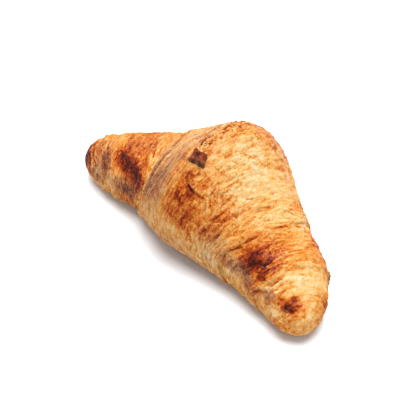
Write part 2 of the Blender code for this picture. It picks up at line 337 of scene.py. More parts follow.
RAGGED = (
    (100, -3.5, 12, 5, 0.0, 1.0),  # beside the tongue's left edge, above the tab
    (84, -5.5, 16, 6, 0.0, 1.0),
    (66, -7.0, 18, 6, 0.0, 0.9),
    (124, 8, 5, 4, 0.0, 0.6),
    (165, 81, 36, 4, 0.0, 0.6),
    (165, 28, 14, 8, 0.0, 0.3),
)

# Fine lines as (angle, x) places, with height, width and change of bake. Cracks are sunken and darkened, as
# painted shade; raised ridges are paled
FINE_LINES = (
    (
        ((110, 44.3), (122, 43.6), (134, 42.4), (146, 40.6), (158, 38.6), (172, 38.2), (188, 39.4)),
        -0.45, 0.36, 0.28,
    ),
    (((52, 46.5), (56, 45.3), (61, 45.0)), -0.6, 0.5, 0.30),
    (((70, 45.0), (92, 43.8), (100, 42.4)), -0.35, 0.4, 0.20),
    (((166, 63.4), (158, 64.6), (150, 65.4)), -0.9, 0.42, 0.36),
    (((136, 66.8), (129.5, 67.1), (121, 67.0), (113.5, 66.7), (105, 66.7)), -1.0, 0.60, 0.50),
    (
        (
            (150, 66.6), (134.5, 67.8), (125.5, 68.5), (112, 68.1),
            (103.5, 67.9), (93, 68.5), (83, 68.8), (67, 68.3),
        ),
        0.8, 0.55, -0.24,
    ),
    (((130, 70.4), (120, 69.7), (113.5, 69.4), (105.5, 69.2), (93, 69.3)), -0.9, 0.46, 0.46),
    (((130, 71.2), (118, 70.4), (109, 70.1), (96, 70.1), (82, 70.0)), 0.7, 0.50, -0.22),
    (((118, 71.6), (107.5, 71.0), (93.5, 70.9)), -0.8, 0.42, 0.40),
    (((152, 60.2), (147, 60.8), (140, 61.4)), -0.5, 0.40, 0.26),
    (((88, 64.2), (78, 64.6), (68, 64.4)), -0.5, 0.36, 0.24),
    (((84, 61.0), (74, 61.6), (64, 61.2)), -0.4, 0.34, 0.20),
    (((120, 74.6), (140, 75.0), (158, 72.6), (171, 67.0)), -0.3, 0.34, 0.12),
    (((96, 75.6), (84, 76.4), (70, 76.0)), 0.4, 0.40, -0.12),
    (((134, 31), (142, 31.6), (150, 31.2)), -0.5, 0.34, 0.30),
    (((104, 30.4), (112, 31.6), (118, 31.2)), -0.5, 0.34, 0.26),
    (((122, 16.4), (127, 18.0), (132, 20.0), (138, 22.4)), 1.2, 0.50, -0.34),
    (((123, 17.6), (128, 19.2), (133, 21.2)), -0.6, 0.36, 0.28),
    (((128, 4.4), (131.6, 7.6), (132.8, 11.2), (132.0, 14.4), (129, 17)), -0.6, 0.36, 0.30),
    (
        ((119.5, 1.6), (124, 3.9), (128.6, 7.4), (130.4, 10.4), (129.6, 13.2), (126.5, 15.8)),
        0.35, 0.55, -0.14,
    ),
    (((128.5, 15.8), (124, 17.4), (118, 17.2), (112, 16.6)), -0.4, 0.34, 0.20),
    (((127.5, 14.6), (122.5, 15.8), (116, 15.8), (110, 15.2)), 0.35, 0.45, -0.10),
    (((163, 20.6), (167, 20.2), (171, 20.8)), 0.5, 0.45, -0.16),
    (((92, -6.2), (99, -4.6), (106, -2.6)), -1.0, 0.55, 0.34),
    (((80, -6.6), (86, -5.4), (91, -3.6)), -0.8, 0.45, 0.30),
    (((90, -2.4), (97, -1.2), (103, 1.4)), -0.8, 0.45, 0.26),
    (((76, -3.6), (84, -2.8), (92, 0.6)), -0.6, 0.45, 0.22),
    (((70, -7.8), (80, -7.6), (88, -7.0)), 0.8, 0.5, -0.12),
    (((84, -4.4), (94, -3.4), (101, -0.6)), 0.8, 0.5, -0.14),
    (((118, 7.6), (112, 9.4), (100, 10.6), (90, 10.0)), 0.5, 0.6, -0.10),
    (((88, 6), (80, 12), (66, 17), (52, 19)), -0.6, 0.7, 0.14),
    (((98, 5), (92, 12), (80, 19), (62, 24)), -0.5, 0.6, 0.12),
    (((108, 8), (103, 16), (94, 22), (84, 25)), -0.5, 0.6, 0.12),
    (((60, 2), (50, 9), (40, 14)), -0.5, 0.6, 0.12),
    (((135, 4), (147, 5), (158, 3.6)), -0.45, 0.5, 0.16),
    (((150, 14), (160, 12.4), (168, 14)), -0.45, 0.5, 0.18),
    (((60, -33), (90, -31.4), (115, -29.4), (140, -28.0), (160, -29.1), (180, -32.2)), 0.4, 0.60, -0.20),
    (((74, -29.2), (98, -27.6), (122, -25.6), (146, -24.8), (168, -26.2)), -0.35, 0.5, 0.12),
    (((84, -24.4), (106, -23.2), (130, -21.8), (152, -21.4)), 0.3, 0.5, -0.10),
    (((100, -56), (112, -53), (124, -48)), -0.35, 0.5, 0.10),
    (((82, -45), (102, -40), (124, -34.5)), -0.4, 0.5, 0.12),
    (((78, -40.5), (98, -37), (116, -32.6)), -0.4, 0.5, 0.12),
)

# How much of its step each wrap shows along it, as (angle, share) places
EVEN_SHARE = ((-60, 1.0), (100, 1.0), (300, 1.0))
LEFT_WRAP_SHARE = ((-60, 1.1), (20, 1.0), (60, 0.65), (95, 0.6), (150, 0.9), (200, 1.0), (300, 1.1))
RIGHT_WRAP_SHARE = (
    (-60, 1.7), (5, 1.6), (32, 0.7), (60, 0.35), (105, 0.4), (130, 0.8), (190, 0.9), (300, 1.7),
)
RIGHT_ARM_SHARE = (
    (-60, 1.7), (5, 1.5), (32, 0.6), (60, 0.3), (105, 0.35), (135, 0.75), (190, 0.9), (300, 1.7),
)

# How dark the painted shade in each wrap's crease is along it, as (angle, strength) places
QUIET_CREASE_SHADE = ((-60, 0.6), (40, 0.5), (100, 0.12), (160, 0.15), (200, 0.3), (300, 0.6))
LEFT_WRAP_CREASE_SHADE = ((-60, 0.9), (40, 0.8), (90, 0.15), (130, 0.25), (160, 0.5), (200, 0.8), (300, 0.9))
RIGHT_CREASE_SHADE = ((-60, 0.9), (40, 0.75), (95, 0.12), (120, 0.28), (160, 0.45), (190, 0.6), (300, 0.9))

# The tab on the crown: four corners of its foot and of its top as (angle, x, height)
TAB_FOOT = ((121.8, -5.4, -3.0), (109, -4.2, -3.0), (105.8, 3.8, -3.0), (118.6, 9.4, -3.0))
TAB_TOP = ((117.8, -0.4, 3.6), (109, -2.5, 2.5), (106.5, 3.5, 2.1), (113, 6.4, 3.3))
TAB_ROUNDING = 0.6 * MM
TAB_LUMPS = 0.45
TAB_LUMP_SIZE = 1.6
TAB_PITS = 0.16
TAB_PIT_SIZE = 0.6
# The tab's end face is greyed as painted shade, fading in over this depth.
TAB_END_SHADE_DEPTH = 0.6  # how far in the grey of its cut end fades

# Flakes: how many, their sizes in metres, and their greatest tilt in radians
FLAKE_SIZES = {
    "Flakes per m2": 300000.0,
    "Length": 0.0032,
    "Width": 0.0008,
    "Thickness": 0.00014,
    "Tilt": 0.36,
    "Raggedness": 0.0013,
}
FLAKE_SEED = 7
FLAKE_PALEST = 0.26

# The crust's mesh
RINGS_PER_BAND = (30, 24, 48, 118, 44, 34)
RING_POINTS = 300
RING_CROWDING = 0.35
TIP_CROWDING = 0.9
TOP_CROWDING = 0.42
ROLL_RADIUS = 33.0  # for the map of length round the roll


def smooth_curve(stations, values, at):
    """Values between the stations, on the natural cubic spline through all of them."""
    stations = np.asarray(stations, float)
    values = np.asarray(values, float)
    gap = np.diff(stations)
    rise = np.diff(values) / gap
    system = np.eye(len(stations))
    wanted = np.zeros(len(stations))
    for i in range(1, len(stations) - 1):
        system[i, i - 1 : i + 2] = gap[i - 1], 2 * (gap[i - 1] + gap[i]), gap[i]
        wanted[i] = 6 * (rise[i] - rise[i - 1])
    bend = np.linalg.solve(system, wanted)
    i = np.clip(np.searchsorted(stations, at, side="right") - 1, 0, len(gap) - 1)
    after = (at - stations[i]) / gap[i]
    before = 1 - after
    sag = (before**3 - before) * bend[i] + (after**3 - after) * bend[i + 1]
    return before * values[i] + after * values[i + 1] + gap[i] ** 2 / 6 * sag


def section_at(x):
    """Spine y, width, height and tip closing of the loft at x."""
    table = np.array(SECTIONS)
    y, width, height = (smooth_curve(table[:, 0], table[:, k], x) for k in (1, 2, 3))
    closing = np.sqrt(np.clip(1 - np.abs(x / HALF_LENGTH) ** TIP_BLUNTNESS, 0, 1))
    return y, width, height, closing


def edge_at(edge, angle):
    """The x of an edge that runs once round the roll."""
    degrees = (np.degrees(angle) + 60) % 360 - 60
    return smooth_curve([p[0] for p in edge], [p[1] for p in edge], degrees)


def roll_radius(x):
    _, width, height, closing = section_at(x)
    return 0.25 * (width + height) * closing


def round_points(x, angle):
    """Places on a round bar of the croissant's thickness, in mm."""
    radius = roll_radius(x)
    return np.stack([x, radius * np.cos(angle), radius * np.sin(angle)], axis=-1)


def cloud(points, octaves=3, seed=0.0):
    """Smooth noise about 0 at each point."""
    shift = Vector((seed * 17.3, seed * -9.1, seed * 5.7))
    places = (Vector(p) + shift for p in points.tolist())
    return np.array([noise.fractal(p, CLOUD_FADE, OCTAVE_STEP, octaves) for p in places])


def ridges(points, octaves=3, seed=0.0):
    """Noise from 0 to about 1 that rises to sharp crests."""
    shift = Vector((seed * 7.7, seed * 3.1, seed * -11.3))
    places = (Vector(p) + shift for p in points.tolist())
    settings = (RIDGE_FADE, OCTAVE_STEP, octaves, RIDGE_OFFSET, RIDGE_GAIN)
    return np.array([noise.ridged_multi_fractal(p, *settings) for p in places])


def plates(points, reach):
    """Small flat plates, each tilted its own way: the height, a number for each plate, and its rim."""
    height, share, rim = np.empty((3, len(points)))
    for k, point in enumerate(points.tolist()):
        gaps, middles = noise.voronoi(Vector(point), distance_metric="DISTANCE")
        middle = middles[0]
        lean = noise.cell_vector(middle * 7.3 + Vector((0.5, 0.5, 0.5)))
        height[k] = (Vector(point) - middle).dot(lean * 2 - Vector((1, 1, 1)))
        share[k] = lean[0]
        rim[k] = gaps[1] - gaps[0]
    return height * reach, share, np.clip(1 - rim / PLATE_RIM, 0, 1)


def patched(patches, places, wander):
    """How strongly the patches cover each place, their outlines frayed by the wander."""
    amount = np.zeros(len(places))
    for angle, x, reach_t, reach_x, slant, strength in patches:
        radius = roll_radius(np.array([float(x)]))[0]
        middle = math.radians(angle)
        side = places[:, 1:] - radius * np.array([math.cos(middle), math.sin(middle)])
        onward = side @ np.array([-math.sin(middle), math.cos(middle)])
        around = np.hypot(side[:, 0], side[:, 1]) + PATCH_SIDE_FRAY * wander
        along = places[:, 0] - x - slant * onward + wander
        reach_round = math.radians(reach_t) * max(radius, LEAST_PATCH_RADIUS)
        away = (along / reach_x) ** 2 + (around / reach_round) ** 2
        amount = amount + strength * np.exp(-(away**PATCH_FALLOFF))
    return amount


def from_line(x, angle, line):
    """Distance over the crust from a fine line, in mm, and how far along the line the nearest place is."""
    radius = roll_radius(x)
    nearest = np.full(x.shape, np.inf)
    reached = np.zeros(x.shape)
    for k in range(len(line) - 1):
        at, ax = math.radians(line[k][0]), line[k][1]
        bt, bx = math.radians(line[k + 1][0]), line[k + 1][1]
        turn = (angle - at + math.pi) % (2 * math.pi) - math.pi
        span_x, span_t = bx - ax, (bt - at) * radius
        share = ((x - ax) * span_x + turn * radius * span_t) / (span_x**2 + span_t**2 + 1e-9)
        share = np.clip(share, 0, 1)
        gap = np.hypot(x - ax - share * span_x, turn * radius - share * span_t)
        reached = np.where(gap < nearest, (k + share) / (len(line) - 1), reached)
        nearest = np.minimum(nearest, gap)
    return nearest, reached


def fine_lines(x, angle, wander):
    """Relief of the cracks and thin ridges, and how they change the bake: the cracks are darkened as painted
    shade.
    """
    height = np.zeros_like(x)
    bake = np.zeros_like(x)
    for line, rise, width, change in FINE_LINES:
        low = min(p[1] for p in line) - 4 * width - 2
        high = max(p[1] for p in line) + 4 * width + 2
        near = np.flatnonzero((x > low) & (x < high))
        gap, reached = from_line(x[near], angle[near], line)
        taper = np.sqrt(np.clip(4 * reached * (1 - reached), 0, 1)) + 0.15
        mark = taper * np.exp(-(((gap + 0.5 * wander[near]) / width) ** 2))
        height[near] += rise * mark
        bake[near] += change * mark
    return height, bake


def stepped(distance, step):
    """Height of a wrap's edge at a distance across it: negative on the lip, positive in the crease."""
    lip, crease, lip_reach, crease_reach = step
    raised = lip * np.exp(np.minimum(distance, 0) / lip_reach)
    sunken = -crease * np.exp(-np.maximum(distance, 0) / crease_reach)
    s = np.clip((distance + LIP_WALL) / (2 * LIP_WALL), 0, 1)
    over = s * s * (3 - 2 * s)
    return raised * (1 - over) + sunken * over


def tongue_distance(x, angle):
    """Distance from the tongue's outline over the crust: negative on the tongue."""
    degrees = (np.degrees(angle) + 70) % 360 - 70
    outline = np.array(TONGUE_EDGE, float)
    order = np.arange(len(outline), dtype=float)
    fine = np.linspace(0, order[-1], 6 * len(outline))
    edge_t = np.radians(smooth_curve(order, outline[:, 0], fine))
    edge_x = smooth_curve(order, outline[:, 1], fine)
    radius = roll_radius(x)
    round_ = np.radians(degrees) * radius
    nearest = np.full(x.shape, np.inf)
    for k in range(len(fine) - 1):
        ax, bx = edge_x[k], edge_x[k + 1]
        at, bt = edge_t[k] * radius, edge_t[k + 1] * radius
        along = ((x - ax) * (bx - ax) + (round_ - at) * (bt - at)) / ((bx - ax) ** 2 + (bt - at) ** 2 + 1e-9)
        along = np.clip(along, 0, 1)
        gap = np.hypot(x - ax - along * (bx - ax), round_ - at - along * (bt - at))
        nearest = np.minimum(nearest, gap)
    left = np.interp(degrees, *rising_side(edge_t, edge_x, first=True))
    right = np.interp(degrees, *rising_side(edge_t, edge_x, first=False))
    inside = (x > left) & (x < right) & (degrees < np.degrees(edge_t.max()))
    return np.where(inside, -nearest, nearest)


def rising_side(edge_t, edge_x, first):
    """One side of the tongue as rising angles and their x: the left side first, or the right one."""
    top = int(np.argmax(edge_t))
    angles = edge_t[: top + 1] if first else edge_t[top:][::-1]
    places = edge_x[: top + 1] if first else edge_x[top:][::-1]
    angles = np.maximum.accumulate(angles)
    return np.degrees(angles) + np.arange(len(angles)) * 1e-6, places


def swells(x, angle):
    """Slow unevenness and pulled layers, as in the solid."""
    slow = (
        np.sin(x / 13.0 + 2.1 * np.cos(angle) + 0.6)
        + 0.8 * np.sin(x / 8.1 - 1.7 * np.sin(angle + 0.4) + 2.0)
        + 0.6 * np.cos(3 * angle + x / 21.0)
    )
    wander = 0.35 * np.sin(2 * angle + x / 17.0) + 0.2 * np.sin(5 * angle - x / 11.0)
    layer = (np.abs(x - CROWN_X) / PLEAT_LENGTH + wander) % 1.0
    overlap = np.where(layer < PLEAT_RISE, layer / PLEAT_RISE, (1 - layer) / (1 - PLEAT_RISE)) - 0.5
    strength = np.clip((np.abs(x - CROWN_X) - SMOOTH_CROWN) / SMOOTH_CROWN, 0, 1)
    return SWELL * slow / 2.4 + PLEAT * overlap * strength


def flakes(x, angle):
    """Torn flakes and crags."""
    height = np.zeros_like(x)
    radius = roll_radius(x)
    for flake_angle, flake_x, rise, reach in FLAKES:
        turn = (angle - math.radians(flake_angle) + math.pi) % (2 * math.pi) - math.pi
        away = ((x - flake_x) ** 2 + (turn * radius) ** 2) / reach**2
        height = height + rise * np.exp(-away)
    return height


def wrap_distances(x, angle):
    """For each wrap's edge: its step, the share that shows, the strength of the painted shade in its crease,
    the distance across.
    """
    edges = (
        (LEFT_KNOB_EDGE, LEFT_KNOB_STEP, EVEN_SHARE, QUIET_CREASE_SHADE, -1),
        (LEFT_ARM_EDGE, LEFT_ARM_STEP, EVEN_SHARE, QUIET_CREASE_SHADE, -1),
        (LEFT_WRAP_EDGE, LEFT_WRAP_STEP, LEFT_WRAP_SHARE, LEFT_WRAP_CREASE_SHADE, -1),
        (RIGHT_WRAP_EDGE, RIGHT_WRAP_STEP, RIGHT_WRAP_SHARE, RIGHT_CREASE_SHADE, 1),
        (RIGHT_ARM_EDGE, RIGHT_ARM_STEP, RIGHT_ARM_SHARE, RIGHT_CREASE_SHADE, 1),
    )
    return [
        (step, edge_at(share, angle), edge_at(strength, angle), outward * (x - edge_at(edge, angle)))
        for edge, step, share, strength, outward in edges
    ]


def saw(phase):
    """A thin layer's profile: it rises slowly from 0 to 1 and falls off its edge."""
    share = phase % 1.0
    return np.where(share < LAYER_RISE, share / LAYER_RISE, (1 - share) / (1 - LAYER_RISE))


def bell(distance, line):
    """How near each distance is to a line across an edge: 1 on the line, fading to 0."""
    middle, reach = line
    return np.exp(-(((distance - middle) / reach) ** 2))


def add_edges(height, x, angle, torn, broken):
    """The height with the edges of the wraps and the tongue, and how much painted crease shade and lip each
    place has.
    """
    crease = np.zeros_like(x)
    lip = np.zeros_like(x)
    for step, share, strength, distance in wrap_distances(x, angle):
        distance = distance + torn
        height = height + share * stepped(distance, step)
        crease = crease + strength * broken * bell(distance, CREASE_SHADE)
        lip = lip + broken * bell(distance, LIP)
    tongue = tongue_distance(x, angle) + torn
    front = np.clip((TONGUE_FRONT_START - np.cos(angle)) / TONGUE_FRONT_SPAN, TONGUE_BACK, 1)
    to_right = 1 / (1 + np.exp((x - TONGUE_RIGHT_X) / TONGUE_RIGHT_FADE))
    kept = front * (TONGUE_RIGHT + (1 - TONGUE_RIGHT) * to_right)
    height = height + kept * stepped(tongue, TONGUE_STEP)
    crease = crease + TONGUE_CREASE_SHADE_STRENGTH * kept * broken * bell(tongue, TONGUE_CREASE_SHADE)
    lip = lip + kept * broken * bell(tongue, TONGUE_LIP)
    return height, crease, lip


def crust_grain(places, level, flow):
    """The fine noises of the crust. Level places follow the wraps, so their noises run along them."""
    bends = BEND * cloud(level / BEND_SIZE, octaves=3, seed=5)
    sway = bends[:, None]
    skin, skin_share, skin_rim = plates(level / SKIN_SIZE + 0.7 * sway, SKIN_REACH)
    leaf, leaf_share, leaf_rim = plates(level / LEAF_SIZE + 0.9 * sway, LEAF_REACH)
    return SimpleNamespace(
        layers=saw(np.abs(flow - CROWN_X) / LAYER_LENGTH + LAYER_BEND * bends),
        wrinkles=ridges(level / WRINKLE_SIZE + 0.5 * sway, octaves=3, seed=6) - 1.0,
        skin=skin,
        skin_share=skin_share,
        skin_rim=skin_rim,
        leaf=leaf,
        leaf_share=leaf_share,
        leaf_rim=leaf_rim,
        fibres=cloud(level / FIBRE_SIZE + 0.5 * sway, octaves=3, seed=7),
        blisters=cloud(places / BLISTER_SIZE, octaves=3, seed=8),
        shreds=ridges(places / SHRED_SIZE, octaves=3, seed=9) - 1.0,
        mottle=cloud(places / MOTTLE_SIZE, octaves=3, seed=12),
        specks=cloud(places / SPECK_SIZE, octaves=3, seed=13),
    )


def crust_covers(places, wander, grain):
    """How much of each place is browned, pale, ashen (some of it painted shade), glazed, layered and ragged.
    """
    uneven = 1 + MOTTLED_PATCH * grain.mottle + SPECKLED_PATCH * grain.specks
    return SimpleNamespace(
        browned=patched(BROWNED, places, wander) * uneven,
        pale=patched(PALE, places, wander),
        ashen=patched(ASHEN_AND_SHADE, places, wander) * (1 + MOTTLED_ASH * grain.mottle),
        glazed=np.clip(patched(GLAZED, places, wander), 0, 1),
        layered=np.clip(patched(LAYERED, places, wander), 0.2, 1),
        ragged=np.clip(patched(RAGGED, places, wander), 0, 1),
    )


def add_grain(height, grain, cover):
    """The height with the crust's fine relief."""
    bare = 1 - 0.6 * cover.glazed
    height = height + LAYER_HEIGHT * cover.layered * (grain.layers - 0.5)
    height = height + WRINKLE_HEIGHT * cover.glazed * grain.wrinkles
    height = height + SKIN_TILT * cover.glazed * grain.skin + LEAF_TILT * bare * grain.leaf
    height = height + FIBRE_HEIGHT * grain.fibres * (0.7 + 0.6 * cover.layered)
    height = height + BLISTER_HEIGHT * grain.blisters
    return height + SHRED_HEIGHT * cover.ragged * grain.shreds


def bake_of(grain, cover):
    """How far each place has browned, from 0 for pale dough to 1 for scorched."""
    # Painted highlight and shade: each thin layer's raised edge is paled, and the gap at its foot darkened.
    edges = LAYER_EDGE_HIGHLIGHT * np.clip(grain.layers - 0.7, 0, 1) * cover.layered
    gaps = LAYER_GAP_SHADE * np.clip(0.2 - grain.layers, 0, 1) * cover.layered
    skin = SKIN_BAKE * (0.5 - grain.skin_share) + SKIN_RIM_BAKE * grain.skin_rim
    skin = skin + WRINKLE_BAKE * grain.wrinkles + GLAZE_BAKE
    leaf = LEAF_BAKE * (grain.leaf_share - 0.5) + LEAF_RIM_BAKE * grain.leaf_rim
    bake = BAKE_LEVEL + cover.browned - cover.pale
    bake = bake + FIBRE_BAKE_AND_HIGHLIGHT * grain.fibres + BLISTER_BAKE_AND_HIGHLIGHT * grain.blisters
    bake = bake + SPECK_BAKE * grain.specks + MOTTLE_BAKE * grain.mottle
    bake = bake + cover.glazed * skin + (1 - cover.glazed) * leaf
    return bake + gaps + edges + SHRED_BAKE * cover.ragged * grain.shreds


def crust_finish(x, angle, flow):
    """Relief of the crust and the masks that colour it. Flow is the place along the roll, by the wraps."""
    places = round_points(x, angle)
    level = places.copy()
    level[:, 0] = flow
    wander = FRAY * cloud(places / FRAY_SIZE, octaves=4, seed=3)
    torn = TORN_LIP * cloud(places / TEAR_SIZE, octaves=3, seed=1)
    broken = np.clip(0.55 + 1.6 * cloud(places / BREAK_SIZE, octaves=2, seed=11), 0.25, 1)
    grain = crust_grain(places, level, flow)
    cover = crust_covers(places, wander, grain)

    height = swells(x, angle) + flakes(x, angle)
    height, crease, lip = add_edges(height, x, angle, torn, broken)
    height = add_grain(height, grain, cover)
    line_height, line_bake = fine_lines(x, angle, torn)

    above = 1 - np.clip((-np.sin(angle) - 0.45) / 0.3, 0, 1)
    masks = {
        "bake": bake_of(grain, cover) + line_bake,
        "ash": np.clip(cover.ashen, 0, 1),
        "glaze": np.clip(cover.glazed * (0.55 + 0.9 * grain.skin_share), 0, 1) * above,
        # The crease mask darkens the creases by the wraps' and the tongue's edges: painted shade.
        "crease": np.clip(crease, 0, 1) * above,
        "lip": np.clip(0.6 * lip, 0, 1) * above,
        "flaky": np.clip(0.25 * cover.layered + 0.7 * cover.ragged + 0.5 * lip, 0, 1) * above,
    }
    return height + line_height, masks


def crust_points(x, angle, height):
    """Points of the crust in metres, its relief standing off the loft by height."""
    y, width, tall, closing = section_at(x)
    slope = section_at(x + 0.5)[0] - section_at(x - 0.5)[0]
    length = np.hypot(slope, 1)
    across = np.sign(np.cos(angle)) * np.abs(np.cos(angle)) ** SECTION_FULLNESS
    rise = np.sign(np.sin(angle)) * np.abs(np.sin(angle)) ** SECTION_FULLNESS
    reach = np.where(rise > 0, 1 - AXIS_HEIGHT, LOWER_DEPTH) * tall
    out_y, out_z = np.cos(angle) / width, np.sin(angle) / (2 * reach)
    norm = np.hypot(out_y, out_z)
    off_sole = np.clip((np.sin(angle) + SOLE_START) / SOLE_FADE, 0, 1)
    off_tip = np.clip(closing * TIP_FADE - TIP_FADE_START, 0, 1)
    lift = height * off_sole * off_tip
    side = 0.5 * width * closing * across + lift * out_y / norm
    z = AXIS_HEIGHT * tall + reach * closing * rise + lift * out_z / norm
    return np.stack([x - side * slope / length, y + side / length, np.maximum(z, 0)], axis=-1) * MM


def ring_x(ring, angle):
    """The x of a ring at each angle. Rings lie along the wraps' edges and crowd next to them."""
    starts = np.cumsum((0,) + RINGS_PER_BAND)
    band = int(np.clip(np.searchsorted(starts, ring, side="right") - 1, 0, len(RINGS_PER_BAND) - 1))
    tip = np.full_like(angle, HALF_LENGTH)
    edges = (
        -tip,
        edge_at(LEFT_KNOB_EDGE, angle),
        edge_at(LEFT_ARM_EDGE, angle),
        edge_at(LEFT_WRAP_EDGE, angle),
        edge_at(RIGHT_WRAP_EDGE, angle),
        edge_at(RIGHT_ARM_EDGE, angle),
        tip,
    )
    share = (ring - starts[band]) / RINGS_PER_BAND[band]
    crowded = RING_CROWDING * (0.5 - 0.5 * math.cos(math.pi * share)) + (1 - RING_CROWDING) * share
    if band == 0:
        crowded = 1 - math.cos(share * math.pi / 2) ** TIP_CROWDING
    if band == len(RINGS_PER_BAND) - 1:
        crowded = math.sin(share * math.pi / 2) ** TIP_CROWDING
    return edges[band] + (edges[band + 1] - edges[band]) * crowded


def with_tips(rings, left, right):
    """The values of every ring's points, with the left tip's first and the right tip's last."""
    return np.concatenate([[left]] + rings + [[right]])


def ring_faces(rings):
    """Faces between the rings' points and the two tips."""
    faces = []
    last = 1 + (rings - 1) * RING_POINTS
    for j in range(RING_POINTS):
        k = (j + 1) % RING_POINTS
        faces.append((0, 1 + j, 1 + k))
        for ring in range(rings - 2):
            a = 1 + ring * RING_POINTS
            b = a + RING_POINTS
            faces.append((a + j, b + j, b + k, a + k))
        a = 1 + (rings - 2) * RING_POINTS
        faces.append((a + j, last, a + k))
    return faces


def around_roll(points):
    """The direction round the roll at every point, which the flakes lie along."""
    rings = points[1:-1].reshape(-1, RING_POINTS, 3)
    ahead = np.roll(rings, -1, axis=1) - rings
    ahead = np.concatenate([[[0, 1, 0]], ahead.reshape(-1, 3), [[0, 1, 0]]])
    return ahead / (np.linalg.norm(ahead, axis=1, keepdims=True) + 1e-9)


def make_crust(material):
    """The whole crust as one closed mesh of rings, with its masks and a map of length round the roll."""
    rings = sum(RINGS_PER_BAND)
    turn = np.linspace(-math.pi / 2, 1.5 * math.pi, RING_POINTS, endpoint=False)
    turn = turn + TOP_CROWDING * np.cos(turn)
    top = np.array([math.pi / 2])
    inner = range(1, rings)
    x = with_tips([ring_x(ring, turn) for ring in inner], -HALF_LENGTH, HALF_LENGTH)
    angle = with_tips([turn for _ in inner], 0.0, 0.0)
    on_top = [np.full(RING_POINTS, ring_x(ring, top)[0]) for ring in inner]
    flow = with_tips(on_top, -HALF_LENGTH, HALF_LENGTH)
    height, masks = crust_finish(x, angle, flow)
    points = crust_points(x, angle, height)

    mesh = bpy.data.meshes.new("crust")
    mesh.from_pydata(points.tolist(), [], ring_faces(rings))
    for name, values in masks.items():
        layer = mesh.attributes.new(name, "FLOAT", "POINT")
        layer.data.foreach_set("value", values.astype(np.float32))
    roll_map(mesh, x, angle)
    layer = mesh.attributes.new("around", "FLOAT_VECTOR", "POINT")
    layer.data.foreach_set("vector", around_roll(points).astype(np.float32).ravel())
    mesh.materials.append(material)
    mesh.shade_smooth()
    crust = bpy.data.objects.new("crust", mesh)
    bpy.context.scene.collection.objects.link(crust)
    return crust


def roll_map(mesh, x, angle):
    """A UV map in metres: u runs round the roll, v along it. Its seam is underneath."""
    corners = np.empty(len(mesh.loops), dtype=np.int64)
    mesh.loops.foreach_get("vertex_index", corners)
    sizes = np.empty(len(mesh.polygons), dtype=np.int64)
    mesh.polygons.foreach_get("loop_total", sizes)
    u = ((angle + math.pi / 2) % (2 * math.pi))[corners]
    v = x[corners]
    face_of = np.repeat(np.arange(len(sizes)), sizes)
    biggest = np.zeros(len(sizes))
    np.maximum.at(biggest, face_of, u)
    over_seam = (biggest[face_of] > 1.8 * math.pi) & (u < 0.2 * math.pi)
    u = np.where(over_seam, u + 2 * math.pi, u)
    layer = mesh.uv_layers.new(name="roll")
    spots = np.stack([u * ROLL_RADIUS * MM, v * MM], axis=-1)
    layer.data.foreach_set("uv", spots.ravel().astype(np.float32))


def over_crust(angle, x, height):
    """A point at a height over the plain crust, in metres. Height is in mm."""
    x, angle = np.array([float(x)]), np.array([math.radians(angle)])
    flat = np.zeros(1)
    here = crust_points(x, angle, flat)[0]
    along = crust_points(x + 1.0, angle, flat)[0] - here
    backward = crust_points(x, angle - 0.03, flat)[0] - here
    out = np.cross(along, backward)
    return Vector(here + height * MM * out / np.linalg.norm(out))


def make_tab(material):
    """The tab on the crown: a wedge-shaped block, rounded, finely divided and roughened."""
    bpy.ops.mesh.primitive_cube_add(size=2.0)
    block = bpy.context.object
    order = {(-1, -1): 0, (-1, 1): 1, (1, 1): 2, (1, -1): 3}
    for vert in block.data.vertices:
        corners = TAB_TOP if vert.co.z > 0 else TAB_FOOT
        vert.co = over_crust(*corners[order[round(vert.co.x), round(vert.co.y)]])
    rounding = block.modifiers.new("rounding", "BEVEL")
    rounding.width = TAB_ROUNDING
    rounding.segments = 3
    smooth = block.modifiers.new("fine", "SUBSURF")
    smooth.subdivision_type = "SIMPLE"
    smooth.levels = smooth.render_levels = 3
    tab = finished(block, "tab")
    roughen_tab(tab.data)
    tab.data.materials.clear()
    tab.data.materials.append(material)
    tab.data.shade_smooth()
    return tab


def roughen_tab(mesh):
    """Lumps and pits all over the tab, and a mask of its end face, which its shader greys as painted shade.
    """
    spots = np.empty(len(mesh.vertices) * 3, np.float32)
    out = np.empty_like(spots)
    mesh.vertices.foreach_get("co", spots)
    mesh.vertices.foreach_get("normal", out)
    spots, out = spots.reshape(-1, 3).astype(float), out.reshape(-1, 3)
    lumps = TAB_LUMPS * cloud(spots / MM / TAB_LUMP_SIZE, octaves=3, seed=21)
    pits = TAB_PITS * cloud(spots / MM / TAB_PIT_SIZE, octaves=2, seed=22)
    spots += out * (lumps + pits)[:, None] * MM
    end = [np.array(over_crust(*corner)) for corner in (TAB_TOP[0], TAB_TOP[3], TAB_FOOT[3])]
    across = np.cross(end[1] - end[0], end[2] - end[0])
    behind = np.abs((spots - end[0]) @ (across / np.linalg.norm(across))) / MM
    layer = mesh.attributes.new("end_shade", "FLOAT", "POINT")
    layer.data.foreach_set("value", np.clip(1.5 - behind / TAB_END_SHADE_DEPTH, 0, 1).astype(np.float32))
    mesh.vertices.foreach_set("co", spots.astype(np.float32).ravel())
    mesh.update()


def finished(source, name):
    """A plain mesh object made of what the source's modifiers give. The source is removed."""
    graph = bpy.context.evaluated_depsgraph_get()
    mesh = bpy.data.meshes.new_from_object(source.evaluated_get(graph))
    bpy.data.objects.remove(source)
    mesh.name = name
    made = bpy.data.objects.new(name, mesh)
    bpy.context.scene.collection.objects.link(made)
    return made


